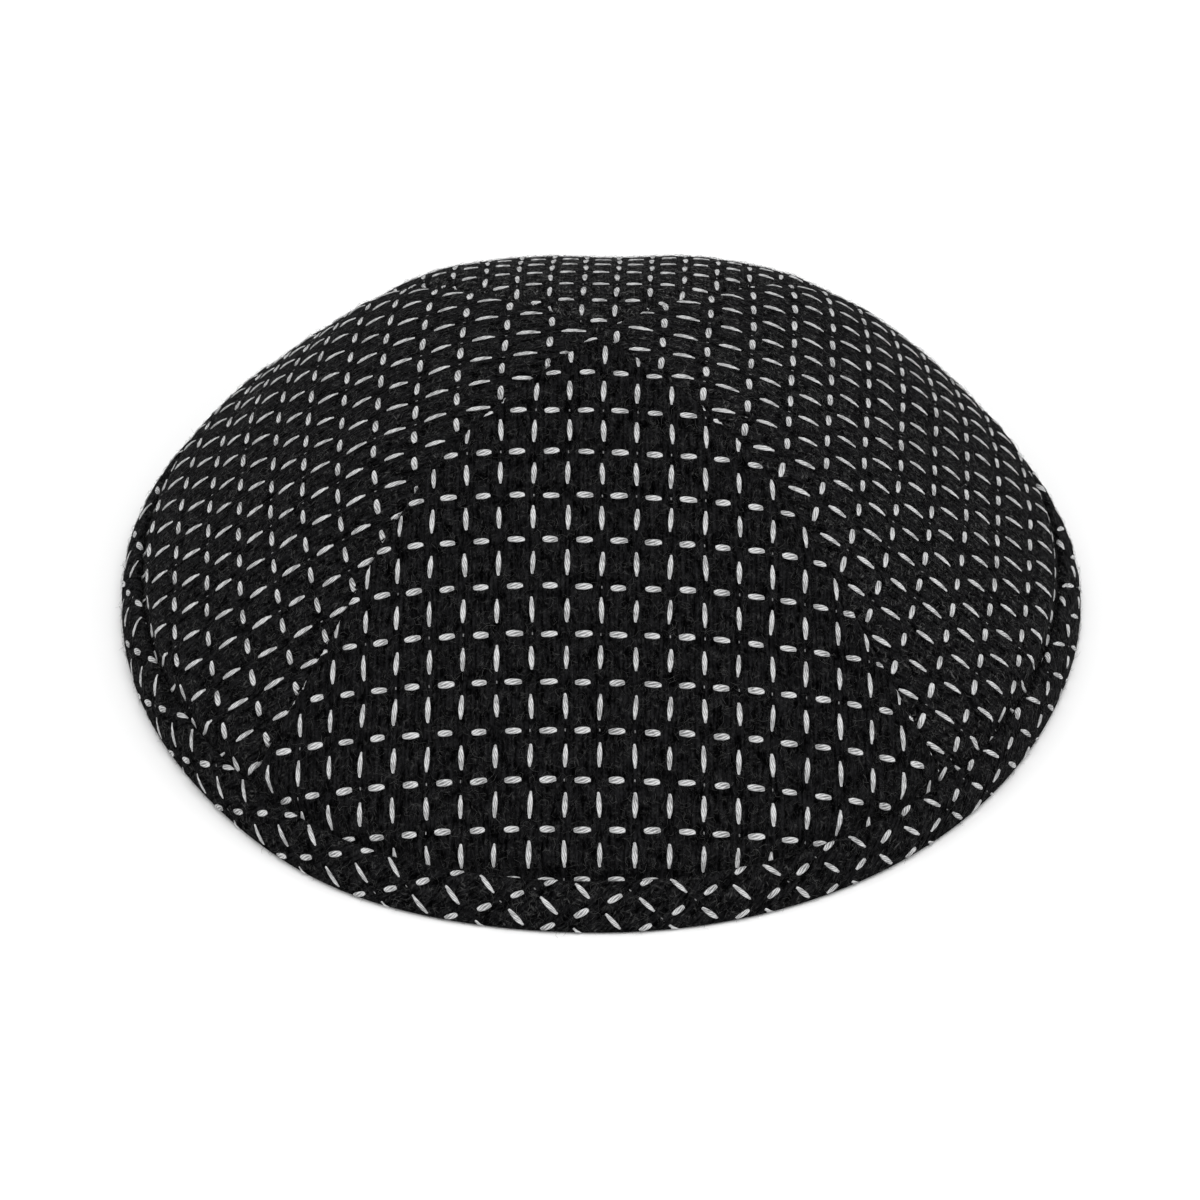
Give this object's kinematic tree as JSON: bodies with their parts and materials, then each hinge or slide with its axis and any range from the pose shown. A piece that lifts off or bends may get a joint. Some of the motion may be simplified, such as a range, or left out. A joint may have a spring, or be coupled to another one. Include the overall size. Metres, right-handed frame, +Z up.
{
  "type": "kippah skullcap",
  "caption": "Domed cloth skullcap of triangular wool panels sewn together at the crown, with a bias-cut strip folded round the rim.",
  "frame": {"origin": "middle of the cap's footprint, on the surface that it rests on", "axes": "+Z up through the crown, -Y towards the front of the cap, +X to the right as seen from the front"},
  "size_m": [0.1762, 0.1719, 0.0604],
  "materials": {
    "wool_cloth": "matt charcoal wool tweed with fine lengthwise ribs and short hairs",
    "binding_cloth": "the same wool cloth cut on the bias",
    "white_yarn": "two-ply off-white pattern yarn woven in short floats"
  },
  "bodies": {
    "root": {"panel_front": "wool_cloth", "panel_right": "wool_cloth", "panel_back": "wool_cloth", "panel_left": "wool_cloth", "rim_binding": "binding_cloth"}
  },
  "joints": []
}
